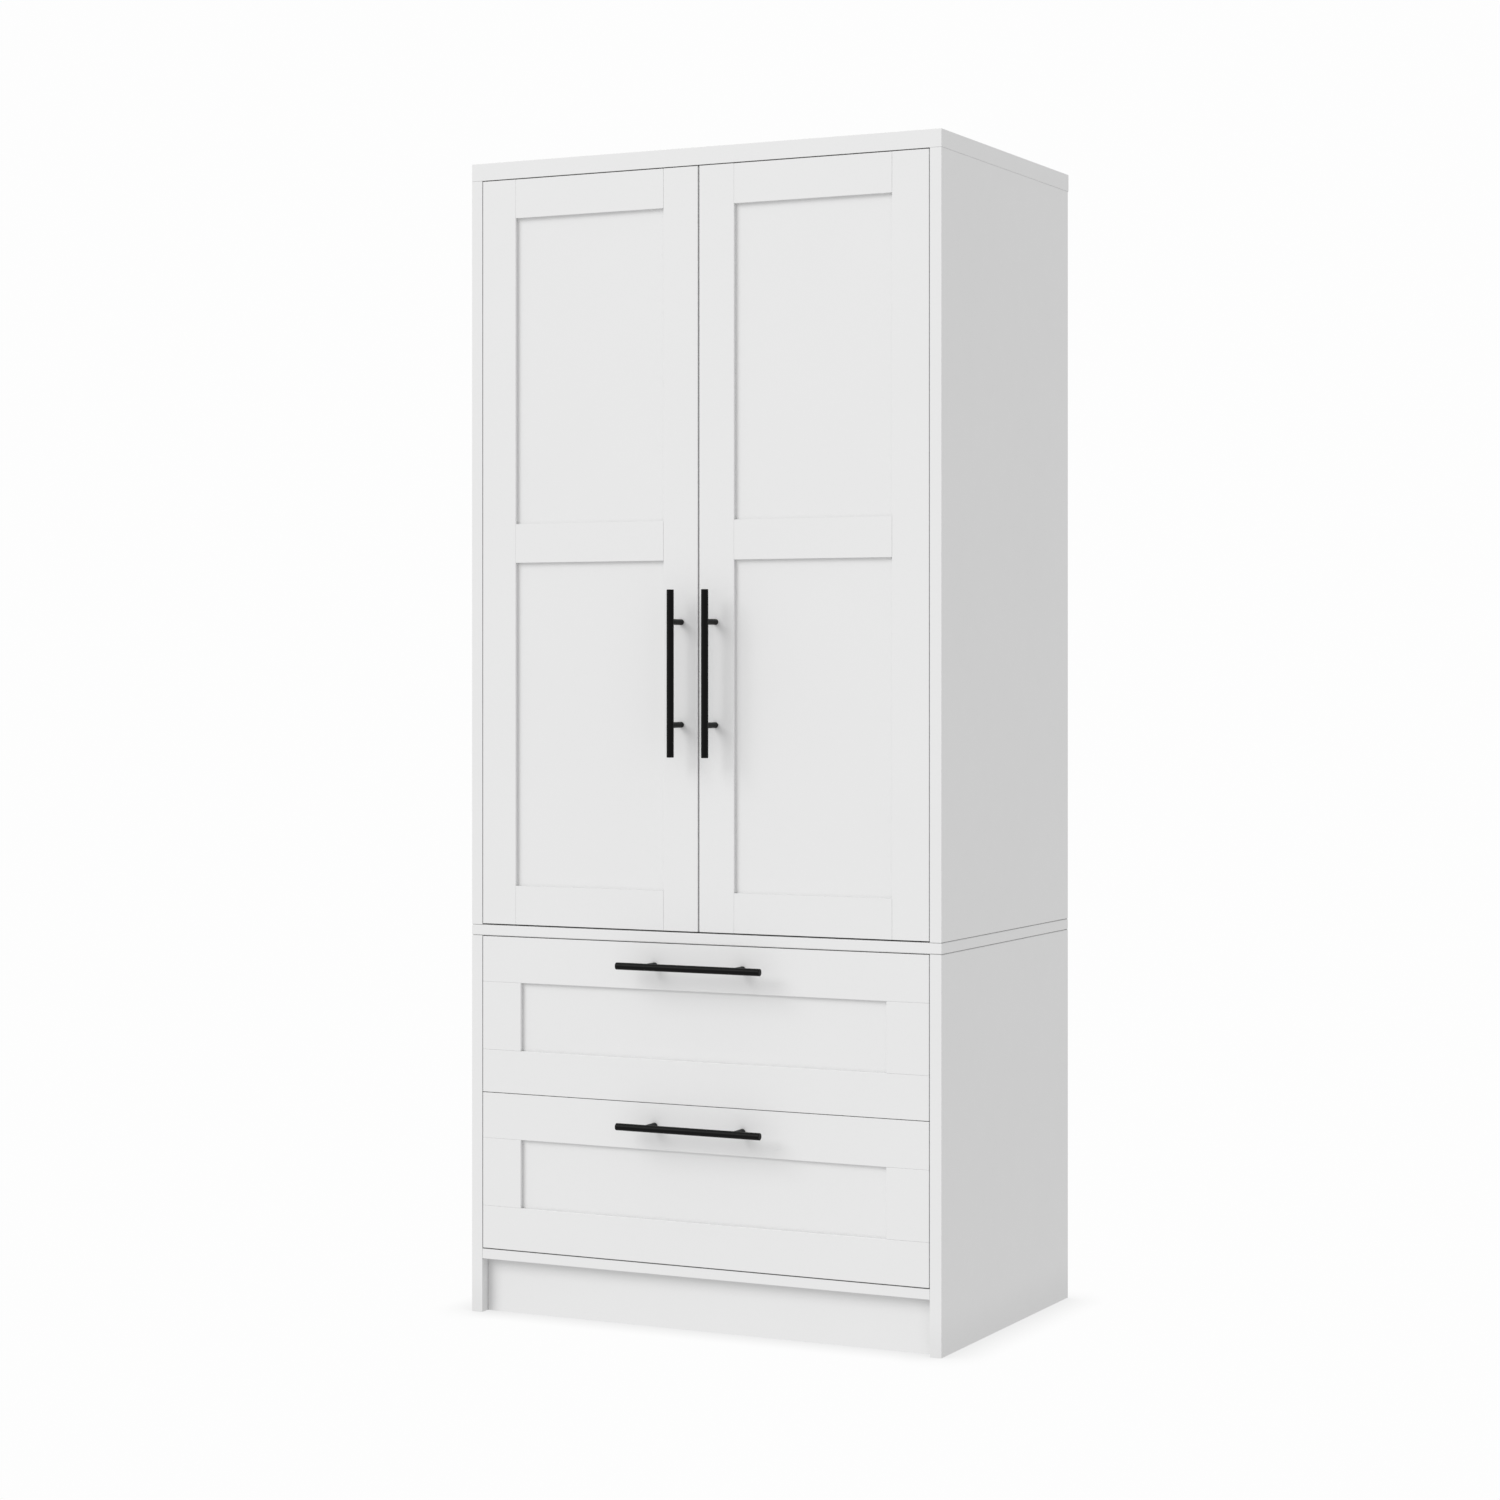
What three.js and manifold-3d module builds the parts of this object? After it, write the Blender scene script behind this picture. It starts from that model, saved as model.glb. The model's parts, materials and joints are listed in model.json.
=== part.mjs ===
// Two-door armoire with a hanging compartment above two full-width drawers.
// Millimetres, +Z up, front towards -Y. The origin is on the floor, under the middle of the whole box.

import * as THREE from 'three';
import { mergeVertices } from 'three/addons/utils/BufferGeometryUtils.js';
import Module from 'manifold-3d';

const wasm = await Module();
wasm.setup();

// ---------------------------------------------------------------- overall sizes
const WIDTH = 800;
const HEIGHT = 1800;
const TOP_DEPTH = 520;
const SIDE_DEPTH = 517;
const HANDLE_PROJECTION = 42;

// ---------------------------------------------------------------- board thicknesses
const TOP_THICKNESS = 27;
const SIDE_THICKNESS = 19;
const MIDDLE_PANEL_THICKNESS = 17;
const BOTTOM_PANEL_THICKNESS = 15.5;
const PLINTH_THICKNESS = 16;
const BACK_THICKNESS = TOP_DEPTH - SIDE_DEPTH;

// ---------------------------------------------------------------- levels above the floor
const BOTTOM_PANEL_UNDERSIDE = 84;
const MIDDLE_PANEL_UNDERSIDE = 590.5;
const BACK_PANEL_UNDERSIDE = 70;
const BACK_PANEL_INSET = 2;
const PLINTH_SETBACK = 18;

// ---------------------------------------------------------------- doors
const SIDE_REVEAL = 1;
const DOOR_TOP_REVEAL = 1.5;
const DOOR_BOTTOM_REVEAL = 2;
const DOOR_MIDDLE_GAP = 2.5;
const HINGE_STILE_WIDTH = 59.5;
const INNER_STILE_WIDTH = 59;
const DOOR_RAIL_WIDTH = 60.5;
const MIDDLE_RAIL_LEVEL = 1173.5;
const STRIP_THICKNESS = 6.5;
const PANEL_THICKNESS = 12.5;
const FRONT_THICKNESS = STRIP_THICKNESS + PANEL_THICKNESS;

// ---------------------------------------------------------------- drawer fronts
const LOWER_FRONT_LEVEL = 101;
const UPPER_FRONT_LEVEL = 345.75;
const DRAWER_FRONT_HEIGHT = 243.75;
const DRAWER_STILE_WIDTH = 68.5;
const DRAWER_TOP_RAIL_WIDTH = 71;
const DRAWER_BOTTOM_RAIL_WIDTH = 66.5;

// ---------------------------------------------------------------- drawer boxes
const DRAWER_BOARD = 12;
const DRAWER_BOX_HEIGHT = 160;
const DRAWER_BOX_LENGTH = 450;
const DRAWER_BOX_LIFT = 25;
const DRAWER_BOTTOM_THICKNESS = 5;
const DRAWER_BOTTOM_LIFT = 10;

// ---------------------------------------------------------------- drawer slides
const SLIDE_SPACE = 13;
const SLIDE_LENGTH = 448;
const CHANNEL_DEPTH = 12.5;
const CHANNEL_HEIGHT = 45;
const CHANNEL_WALL = 1.5;
const RUNNER_THICKNESS = 9.5;
const RUNNER_HEIGHT = 34;

// ---------------------------------------------------------------- bar pulls
const BAR_DIAMETER = 11;
const POST_DIAMETER = 9;
const DOOR_PULL = { barLength: 254, postSpacing: 156 };
const DRAWER_PULL = { barLength: 244, postSpacing: 150 };
const DOOR_HANDLE_LEVEL = 1001.5;
const DOOR_HANDLE_INSET = 28;
const DRAWER_HANDLE_DROP = 33.5;

// ---------------------------------------------------------------- cup hinges
const CUP_DIAMETER = 35;
const CUP_CLEARANCE = 0.3;
const CUP_DEPTH = 11.5;
const CUP_EDGE_DISTANCE = 22.5;
const CUP_FLANGE_DIAMETER = 42;
const CUP_FLANGE_THICKNESS = 1.5;
const HINGE_ARM_HEIGHT = 15;
const HINGE_END_DISTANCE = 100;

// ---------------------------------------------------------------- clothes rod
const ROD_DIAMETER = 25;
const ROD_DROP = 62;
const ROD_END_PLAY = 0.5;
const SOCKET_FLANGE_DIAMETER = 52;
const SOCKET_FLANGE_THICKNESS = 3;
const SOCKET_COLLAR_WALL = 4;
const SOCKET_COLLAR_LENGTH = 12;
const SOCKET_PLAY = 0.5;

const ROUND_SEGMENTS = 32;
const BAR_SEGMENTS = 20;
const POST_SEGMENTS = 16;

// ---------------------------------------------------------------- derived places
const OVERALL_DEPTH = TOP_DEPTH + HANDLE_PROJECTION;
const FRONT_Y = HANDLE_PROJECTION - OVERALL_DEPTH / 2;
const SIDE_REAR_Y = FRONT_Y + SIDE_DEPTH;
const INNER_HALF = WIDTH / 2 - SIDE_THICKNESS;
const FRONT_HALF = INNER_HALF - SIDE_REVEAL;
const FRONT_REAR_Y = FRONT_Y + FRONT_THICKNESS;
const TOP_UNDERSIDE = HEIGHT - TOP_THICKNESS;
const MIDDLE_PANEL_TOP = MIDDLE_PANEL_UNDERSIDE + MIDDLE_PANEL_THICKNESS;
const BOTTOM_PANEL_TOP = BOTTOM_PANEL_UNDERSIDE + BOTTOM_PANEL_THICKNESS;
const DOOR_BOTTOM = MIDDLE_PANEL_TOP + DOOR_BOTTOM_REVEAL;
const DOOR_TOP = TOP_UNDERSIDE - DOOR_TOP_REVEAL;
const DOOR_INNER_EDGE = DOOR_MIDDLE_GAP / 2;
const BAR_DISTANCE = HANDLE_PROJECTION - BAR_DIAMETER / 2;
const SIDES = [{ word: 'left', sign: -1 }, { word: 'right', sign: 1 }];

const armoire = new THREE.Group();

// ---------------------------------------------------------------- materials
function paintedBoard() {
  return new THREE.MeshStandardMaterial({ color: 0xe9e9e9, roughness: 0.55, metalness: 0 });
}

function whiteHardboard() {
  return new THREE.MeshStandardMaterial({ color: 0xdedede, roughness: 0.7, metalness: 0 });
}

function blackMetal() {
  return new THREE.MeshStandardMaterial({ color: 0x161616, roughness: 0.45, metalness: 0.6 });
}

function zincSteel() {
  return new THREE.MeshStandardMaterial({ color: 0xa9adb0, roughness: 0.38, metalness: 0.9 });
}

function chromedSteel() {
  return new THREE.MeshStandardMaterial({ color: 0xc9ccce, roughness: 0.18, metalness: 1 });
}

// ---------------------------------------------------------------- shape helpers
function add(parent, name, geometry, material) {
  const mesh = new THREE.Mesh(geometry, material);
  mesh.name = name;
  parent.add(mesh);
  return mesh;
}

// A rectangular board given by its lowest and highest value along each axis.
function board(parent, name, x, y, z, material = paintedBoard()) {
  const geometry = new THREE.BoxGeometry(x[1] - x[0], y[1] - y[0], z[1] - z[0]);
  const mesh = add(parent, name, geometry, material);
  mesh.position.set((x[0] + x[1]) / 2, (y[0] + y[1]) / 2, (z[0] + z[1]) / 2);
  return mesh;
}

// An X range mirrored to the side of the given sign.
function mirrored(sign, near, far) {
  return sign < 0 ? [-far, -near] : [near, far];
}

function rectangle(x0, z0, x1, z1, PathType = THREE.Shape) {
  const outline = new PathType();
  outline.moveTo(x0, z0);
  outline.lineTo(x1, z0);
  outline.lineTo(x1, z1);
  outline.lineTo(x0, z1);
  outline.closePath();
  return outline;
}

// An outline drawn in X and Z, extruded towards -Y from the given rear plane.
function extrudeForward(parent, name, shape, thickness, rearY, material) {
  const geometry = new THREE.ExtrudeGeometry(shape, {
    depth: thickness,
    bevelEnabled: false,
    curveSegments: ROUND_SEGMENTS,
  });
  const mesh = add(parent, name, geometry, material);
  mesh.rotation.x = Math.PI / 2;
  mesh.position.y = rearY;
  return mesh;
}

// A closed geometry, moved by a matrix, as a solid that can be joined and cut.
function solid(geometry, matrix = new THREE.Matrix4()) {
  const bare = geometry.clone().applyMatrix4(matrix);
  bare.deleteAttribute('normal');
  bare.deleteAttribute('uv');
  const merged = mergeVertices(bare, 1e-4);
  return new wasm.Manifold(new wasm.Mesh({
    numProp: 3,
    vertProperties: new Float32Array(merged.attributes.position.array),
    triVerts: new Uint32Array(merged.index.array),
  }));
}

function geometryOf(manifold) {
  const { vertProperties, triVerts } = manifold.getMesh();
  const geometry = new THREE.BufferGeometry();
  geometry.setAttribute('position', new THREE.BufferAttribute(vertProperties, 3));
  geometry.setIndex(new THREE.BufferAttribute(triVerts, 1));
  geometry.computeVertexNormals();
  return geometry;
}

// ---------------------------------------------------------------- carcass
function buildCarcass() {
  const sideY = [FRONT_Y, SIDE_REAR_Y];
  const outerX = [-WIDTH / 2, WIDTH / 2];
  const innerX = [-INNER_HALF, INNER_HALF];

  board(armoire, 'top_panel', outerX, [FRONT_Y, FRONT_Y + TOP_DEPTH], [TOP_UNDERSIDE, HEIGHT]);
  board(armoire, 'middle_panel', outerX, sideY, [MIDDLE_PANEL_UNDERSIDE, MIDDLE_PANEL_TOP]);
  board(armoire, 'bottom_panel', innerX, sideY, [BOTTOM_PANEL_UNDERSIDE, BOTTOM_PANEL_TOP]);

  for (const { word, sign } of SIDES) {
    const x = mirrored(sign, INNER_HALF, WIDTH / 2);
    board(armoire, `upper_side_${word}`, x, sideY, [MIDDLE_PANEL_TOP, TOP_UNDERSIDE]);
    board(armoire, `lower_side_${word}`, x, sideY, [0, MIDDLE_PANEL_UNDERSIDE]);
  }

  const plinthY = FRONT_Y + PLINTH_SETBACK;
  board(armoire, 'plinth', innerX, [plinthY, plinthY + PLINTH_THICKNESS], [0, BOTTOM_PANEL_UNDERSIDE]);

  const backHalf = WIDTH / 2 - BACK_PANEL_INSET;
  const backY = [SIDE_REAR_Y, SIDE_REAR_Y + BACK_THICKNESS];
  const backZ = [BACK_PANEL_UNDERSIDE, TOP_UNDERSIDE];
  board(armoire, 'back_panel', [-backHalf, backHalf], backY, backZ, whiteHardboard());
}

// ---------------------------------------------------------------- clothes rod and its two open-topped sockets
function socketOutline() {
  const inner = ROD_DIAMETER / 2 + SOCKET_PLAY;
  const outer = inner + SOCKET_COLLAR_WALL;
  const outline = new THREE.Shape();
  outline.moveTo(-outer, inner);
  outline.lineTo(-outer, 0);
  outline.absarc(0, 0, outer, Math.PI, 2 * Math.PI, false);
  outline.lineTo(outer, inner);
  outline.lineTo(inner, inner);
  outline.lineTo(inner, 0);
  outline.absarc(0, 0, inner, 0, Math.PI, true);
  outline.lineTo(-inner, inner);
  outline.closePath();
  return outline;
}

function socketGeometry() {
  const collar = new THREE.ExtrudeGeometry(socketOutline(), {
    depth: SOCKET_COLLAR_LENGTH + SOCKET_FLANGE_THICKNESS,
    bevelEnabled: false,
    curveSegments: BAR_SEGMENTS,
  });
  const flangeRadius = SOCKET_FLANGE_DIAMETER / 2;
  const flange = new THREE.CylinderGeometry(
    flangeRadius, flangeRadius, SOCKET_FLANGE_THICKNESS, ROUND_SEGMENTS);
  const flat = new THREE.Matrix4().makeRotationX(Math.PI / 2);
  flat.setPosition(0, 0, SOCKET_FLANGE_THICKNESS / 2);
  return geometryOf(solid(collar).add(solid(flange, flat)));
}

// Local Z points from the side of the given sign into the cabinet, and local Y points up.
function inwardBasis(sign) {
  const across = new THREE.Vector3(0, -sign, 0);
  const up = new THREE.Vector3(0, 0, 1);
  const inward = new THREE.Vector3(-sign, 0, 0);
  return new THREE.Matrix4().makeBasis(across, up, inward);
}

function buildClothesRod() {
  const rodY = (FRONT_REAR_Y + SIDE_REAR_Y) / 2;
  const rodZ = TOP_UNDERSIDE - ROD_DROP;
  const rodLength = 2 * (INNER_HALF - SOCKET_FLANGE_THICKNESS - ROD_END_PLAY);
  const radius = ROD_DIAMETER / 2;

  const rodGeometry = new THREE.CylinderGeometry(radius, radius, rodLength, ROUND_SEGMENTS);
  const rod = add(armoire, 'clothes_rod', rodGeometry, chromedSteel());
  rod.rotation.z = Math.PI / 2;
  rod.position.set(0, rodY, rodZ);

  for (const { word, sign } of SIDES) {
    const socket = add(armoire, `rod_socket_${word}`, socketGeometry(), chromedSteel());
    socket.setRotationFromMatrix(inwardBasis(sign));
    socket.position.set(sign * INNER_HALF, rodY, rodZ);
  }
}

// ---------------------------------------------------------------- bar pull: a bar on two posts, fixed at local Y = 0
function barPullGeometry({ barLength, postSpacing }) {
  const barRadius = BAR_DIAMETER / 2;
  const bar = new THREE.CylinderGeometry(barRadius, barRadius, barLength, BAR_SEGMENTS);
  const lying = new THREE.Matrix4().makeRotationZ(Math.PI / 2);
  lying.setPosition(0, -BAR_DISTANCE, 0);

  const postRadius = POST_DIAMETER / 2;
  const post = new THREE.CylinderGeometry(postRadius, postRadius, BAR_DISTANCE, POST_SEGMENTS);
  let pull = solid(bar, lying);
  for (const sign of [-1, 1]) {
    const place = new THREE.Matrix4();
    place.setPosition(sign * postSpacing / 2, -BAR_DISTANCE / 2, 0);
    pull = pull.add(solid(post, place));
  }
  return geometryOf(pull);
}

function barPull(name, size, x, z, upright) {
  const pull = add(armoire, name, barPullGeometry(size), blackMetal());
  pull.rotation.y = upright ? Math.PI / 2 : 0;
  pull.position.set(x, FRONT_Y, z);
}

// ---------------------------------------------------------------- cup hinges
function hingeLevels() {
  const lower = DOOR_BOTTOM + HINGE_END_DISTANCE;
  const upper = DOOR_TOP - HINGE_END_DISTANCE;
  return { lower, middle: (lower + upper) / 2, upper };
}

function hingeCup(name, x, z) {
  const radius = CUP_DIAMETER / 2 - CUP_CLEARANCE;
  const flangeRadius = CUP_FLANGE_DIAMETER / 2;
  const profile = [
    new THREE.Vector2(0, -CUP_DEPTH),
    new THREE.Vector2(radius, -CUP_DEPTH),
    new THREE.Vector2(radius, 0),
    new THREE.Vector2(flangeRadius, 0),
    new THREE.Vector2(flangeRadius, CUP_FLANGE_THICKNESS),
    new THREE.Vector2(0, CUP_FLANGE_THICKNESS),
  ];
  const cup = add(armoire, name, new THREE.LatheGeometry(profile, ROUND_SEGMENTS), zincSteel());
  cup.position.set(x, FRONT_REAR_Y, z);
}

// The arm seen from above, for the side of the given sign. Across is measured from the side
// panel's inner face into the cabinet, and back is measured from the front plane.
function hingeArmOutline(sign) {
  const points = [
    { across: 0, back: 48 },
    { across: 0, back: 98 },
    { across: 4, back: 98 },
    { across: 4, back: 92 },
    { across: 16, back: 92 },
    { across: 16, back: 52 },
    { across: 34, back: 32 },
    { across: 34, back: 23 },
    { across: 22, back: 23 },
    { across: 8, back: 44 },
    { across: 4, back: 48 },
  ];
  const outline = new THREE.Shape();
  for (const [index, { across, back }] of points.entries()) {
    const x = sign * (INNER_HALF - across);
    const y = FRONT_Y + back;
    if (index === 0) outline.moveTo(x, y);
    else outline.lineTo(x, y);
  }
  outline.closePath();
  return outline;
}

function hingeArm(name, sign, z) {
  const options = { depth: HINGE_ARM_HEIGHT, bevelEnabled: false };
  const geometry = new THREE.ExtrudeGeometry(hingeArmOutline(sign), options);
  const arm = add(armoire, name, geometry, zincSteel());
  arm.position.z = z - HINGE_ARM_HEIGHT / 2;
}

// ---------------------------------------------------------------- doors: a backing panel behind five applied strips
function doorPanelShape(sign, cupX) {
  const [x0, x1] = mirrored(sign, DOOR_INNER_EDGE, FRONT_HALF);
  const shape = rectangle(x0, DOOR_BOTTOM, x1, DOOR_TOP);
  for (const z of Object.values(hingeLevels())) {
    const bore = new THREE.Path();
    bore.absarc(cupX, z, CUP_DIAMETER / 2, 0, 2 * Math.PI, true);
    shape.holes.push(bore);
  }
  return shape;
}

function buildDoor({ word, sign }) {
  const door = `${word}_door`;
  const stripY = [FRONT_Y, FRONT_Y + STRIP_THICKNESS];
  const doorZ = [DOOR_BOTTOM, DOOR_TOP];
  const innerStileEnd = DOOR_INNER_EDGE + INNER_STILE_WIDTH;
  const hingeStileStart = FRONT_HALF - HINGE_STILE_WIDTH;
  const innerStile = mirrored(sign, DOOR_INNER_EDGE, innerStileEnd);
  const hingeStile = mirrored(sign, hingeStileStart, FRONT_HALF);
  const rails = mirrored(sign, innerStileEnd, hingeStileStart);

  board(armoire, `${door}_hinge_stile`, hingeStile, stripY, doorZ);
  board(armoire, `${door}_inner_stile`, innerStile, stripY, doorZ);

  const railLevels = {
    bottom: DOOR_BOTTOM,
    middle: MIDDLE_RAIL_LEVEL,
    top: DOOR_TOP - DOOR_RAIL_WIDTH,
  };
  for (const [place, level] of Object.entries(railLevels)) {
    board(armoire, `${door}_${place}_rail`, rails, stripY, [level, level + DOOR_RAIL_WIDTH]);
  }

  const cupX = sign * (FRONT_HALF - CUP_EDGE_DISTANCE);
  const panelShape = doorPanelShape(sign, cupX);
  extrudeForward(armoire, `${door}_panel`, panelShape, PANEL_THICKNESS, FRONT_REAR_Y, paintedBoard());

  for (const [place, level] of Object.entries(hingeLevels())) {
    hingeCup(`${word}_hinge_cup_${place}`, cupX, level);
    hingeArm(`${word}_hinge_arm_${place}`, sign, level);
  }

  const handleX = sign * (DOOR_INNER_EDGE + DOOR_HANDLE_INSET);
  barPull(`${door}_handle`, DOOR_PULL, handleX, DOOR_HANDLE_LEVEL, true);
}

// ---------------------------------------------------------------- drawer slides
function channelOutline(sign, z) {
  const halfHeight = CHANNEL_HEIGHT / 2;
  const near = INNER_HALF - CHANNEL_DEPTH;
  const points = [
    [INNER_HALF, -halfHeight],
    [INNER_HALF, halfHeight],
    [near, halfHeight],
    [near, halfHeight - CHANNEL_WALL],
    [INNER_HALF - CHANNEL_WALL, halfHeight - CHANNEL_WALL],
    [INNER_HALF - CHANNEL_WALL, CHANNEL_WALL - halfHeight],
    [near, CHANNEL_WALL - halfHeight],
    [near, -halfHeight],
  ];
  return new THREE.Shape(points.map(([x, height]) => new THREE.Vector2(sign * x, z + height)));
}

function buildSlides(drawer, boxBottom) {
  const slideZ = boxBottom + DRAWER_BOX_HEIGHT / 2;
  const slideRearY = FRONT_REAR_Y + SLIDE_LENGTH;
  const runnerZ = [slideZ - RUNNER_HEIGHT / 2, slideZ + RUNNER_HEIGHT / 2];
  const runnerNear = INNER_HALF - SLIDE_SPACE;
  for (const { word, sign } of SIDES) {
    const outline = channelOutline(sign, slideZ);
    const channelName = `${drawer}_slide_channel_${word}`;
    extrudeForward(armoire, channelName, outline, SLIDE_LENGTH, slideRearY, zincSteel());

    const runnerX = mirrored(sign, runnerNear, runnerNear + RUNNER_THICKNESS);
    const runnerY = [FRONT_REAR_Y, slideRearY];
    board(armoire, `${drawer}_slide_runner_${word}`, runnerX, runnerY, runnerZ, zincSteel());
  }
}

// ---------------------------------------------------------------- drawers: a framed front on an open-topped box
function drawerFrameShape(frontBottom) {
  const frontTop = frontBottom + DRAWER_FRONT_HEIGHT;
  const openingHalf = FRONT_HALF - DRAWER_STILE_WIDTH;
  const openingBottom = frontBottom + DRAWER_BOTTOM_RAIL_WIDTH;
  const openingTop = frontTop - DRAWER_TOP_RAIL_WIDTH;
  const shape = rectangle(-FRONT_HALF, frontBottom, FRONT_HALF, frontTop);
  shape.holes.push(rectangle(-openingHalf, openingBottom, openingHalf, openingTop, THREE.Path));
  return shape;
}

function buildDrawer(drawer, frontBottom) {
  const frontTop = frontBottom + DRAWER_FRONT_HEIGHT;
  const panelY = [FRONT_Y + STRIP_THICKNESS, FRONT_REAR_Y];
  const frameShape = drawerFrameShape(frontBottom);
  extrudeForward(armoire, `${drawer}_front_frame`, frameShape, STRIP_THICKNESS, panelY[0], paintedBoard());
  board(armoire, `${drawer}_front_panel`, [-FRONT_HALF, FRONT_HALF], panelY, [frontBottom, frontTop]);
  barPull(`${drawer}_handle`, DRAWER_PULL, 0, frontTop - DRAWER_HANDLE_DROP, false);

  const boxBottom = frontBottom + DRAWER_BOX_LIFT;
  const boxZ = [boxBottom, boxBottom + DRAWER_BOX_HEIGHT];
  const boxHalf = INNER_HALF - SLIDE_SPACE;
  const boxInnerHalf = boxHalf - DRAWER_BOARD;
  const boxRearY = FRONT_REAR_Y + DRAWER_BOX_LENGTH;
  for (const { word, sign } of SIDES) {
    const x = mirrored(sign, boxInnerHalf, boxHalf);
    board(armoire, `${drawer}_side_${word}`, x, [FRONT_REAR_Y, boxRearY], boxZ);
  }

  const innerX = [-boxInnerHalf, boxInnerHalf];
  const backY = [boxRearY - DRAWER_BOARD, boxRearY];
  board(armoire, `${drawer}_back`, innerX, backY, boxZ);

  const floorLevel = boxBottom + DRAWER_BOTTOM_LIFT;
  const floorZ = [floorLevel, floorLevel + DRAWER_BOTTOM_THICKNESS];
  board(armoire, `${drawer}_bottom`, innerX, [FRONT_REAR_Y, backY[0]], floorZ, whiteHardboard());

  buildSlides(drawer, boxBottom);
}

buildCarcass();
buildClothesRod();
for (const side of SIDES) buildDoor(side);
buildDrawer('upper_drawer', UPPER_FRONT_LEVEL);
buildDrawer('lower_drawer', LOWER_FRONT_LEVEL);

export default armoire;
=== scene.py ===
"""Looks for the two-door armoire: painted boards, bar pulls, hinges, slides and fasteners."""

import json
import math

import bmesh
import bpy
from mathutils import Matrix, Vector


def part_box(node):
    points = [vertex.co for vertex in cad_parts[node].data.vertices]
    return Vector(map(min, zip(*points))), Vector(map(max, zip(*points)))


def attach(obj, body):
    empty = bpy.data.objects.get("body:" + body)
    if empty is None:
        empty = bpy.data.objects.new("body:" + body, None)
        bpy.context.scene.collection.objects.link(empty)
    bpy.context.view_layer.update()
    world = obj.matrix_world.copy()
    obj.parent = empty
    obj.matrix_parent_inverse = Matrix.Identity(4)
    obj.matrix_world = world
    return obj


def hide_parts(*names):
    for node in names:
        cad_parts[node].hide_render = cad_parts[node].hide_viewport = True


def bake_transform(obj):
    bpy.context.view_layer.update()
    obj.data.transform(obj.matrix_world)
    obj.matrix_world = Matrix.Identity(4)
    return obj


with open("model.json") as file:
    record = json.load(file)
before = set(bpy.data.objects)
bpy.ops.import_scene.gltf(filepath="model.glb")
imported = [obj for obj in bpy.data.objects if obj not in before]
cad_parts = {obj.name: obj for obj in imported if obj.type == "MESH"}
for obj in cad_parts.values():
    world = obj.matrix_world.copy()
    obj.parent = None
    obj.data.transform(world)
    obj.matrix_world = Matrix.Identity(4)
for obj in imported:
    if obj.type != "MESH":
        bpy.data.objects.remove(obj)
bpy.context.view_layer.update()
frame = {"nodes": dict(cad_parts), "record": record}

MM = 0.001
SIDES = (("left", -1), ("right", 1))
PLACES = ("lower", "middle", "upper")
DRAWERS = ("upper_drawer", "lower_drawer")
SIDE_BOARDS = ("upper_side_left", "upper_side_right", "lower_side_left", "lower_side_right")
X_AXIS = Vector((1, 0, 0))
Y_AXIS = Vector((0, 1, 0))
Z_AXIS = Vector((0, 0, 1))
SHARP_ANGLE = math.radians(32)
BEVEL_ANGLE = math.radians(50)

# ------------------------------------------------------------------ sizes, in metres
SAME = 0.01 * MM
BOARD_EDGE = 0.6 * MM
JOINT_EASE = 1.9 * MM
STRIP_EDGE = 0.75 * MM
SHEET_EDGE = 0.25 * MM
METAL_EDGE = 0.3 * MM

# Painted shade: how far and how strongly the board paints darken their creases, corners and recesses.
FRONT_CREASE_SHADE_REACH = 6 * MM
FRONT_CREASE_SHADE_DEPTH = 0.06
CARCASS_CREASE_SHADE_REACH = 4 * MM
CARCASS_CREASE_SHADE_DEPTH = 0.34
PLINTH_CREASE_SHADE_REACH = 28 * MM
PLINTH_CREASE_SHADE_DEPTH = 0.1
# Painted shade: how high and how strongly the carcass paint darkens towards the floor.
FLOOR_SHADE_HEIGHT = 70 * MM
FLOOR_SHADE_DEPTH = 0.06

DRAWER_STILE = 68.5 * MM
DRAWER_TOP_RAIL = 71 * MM
DRAWER_BOTTOM_RAIL = 66.5 * MM

BAR_RADIUS = 5.5 * MM
BAR_CHAMFER = 0.8 * MM
POST_RADIUS = 4.5 * MM
POST_EDGE = 0.4 * MM
DOOR_POST_SPACING = 156 * MM
DRAWER_POST_SPACING = 150 * MM
PULL_SCREW_RADIUS = 4.2 * MM
PULL_SCREW_HEIGHT = 2.2 * MM

CUP_RADIUS = 17.2 * MM
CUP_BORE_RADIUS = 14.5 * MM
CUP_DEPTH = 11 * MM
CUP_FLOOR = 1 * MM
CUP_ROUNDING = 2 * MM
CUP_FLANGE_RADIUS = 20.5 * MM
CUP_FLANGE = 1.2 * MM
CUP_FLANGE_EDGE = 0.6 * MM
CUP_MOUTH_EDGE = 1 * MM
WING_REACH = 29 * MM
WING_OVERLAP = 4 * MM
WING_HALF_WIDTH = 8 * MM
WING_THICKNESS = CUP_FLANGE * 0.8
WING_EDGE = 0.35 * MM
WING_SCREW_REACH = 24 * MM
PIN_RADIUS = 1.6 * MM
PIN_LENGTH = 20 * MM
PIN_DEPTH = 3 * MM
PIN_EDGE = 0.4 * MM
LEVER_LOW = Vector((-5, -6, -6.5)) * MM
LEVER_HIGH = Vector((7, -1, 6.5)) * MM
LEVER_EDGE = 0.8 * MM

PLATE_THICKNESS = 3 * MM
PLATE_REACH = 27 * MM
PLATE_WIDTH = 20 * MM
PLATE_BACK = 62 * MM
PLATE_EDGE = 1 * MM
PLATE_SCREW_REACH = 20 * MM
ARM_WIDTH = 15 * MM
ARM_EDGE = 0.7 * MM
ARM_TOP = 16 * MM
ARM_SCREW_BACKS = (62 * MM, 84 * MM)
ARM_SCREW_RADIUS = 3.2 * MM
ARM_SCREW_HEIGHT = 1.2 * MM
LINK_NOSE_ACROSS = 29 * MM
LINK_NOSE_BACK = 28 * MM
LINK_HALF_WIDTH = 6 * MM
LINK_HALF_HEIGHT = 4.5 * MM
LINK_STEPS = 24

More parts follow.
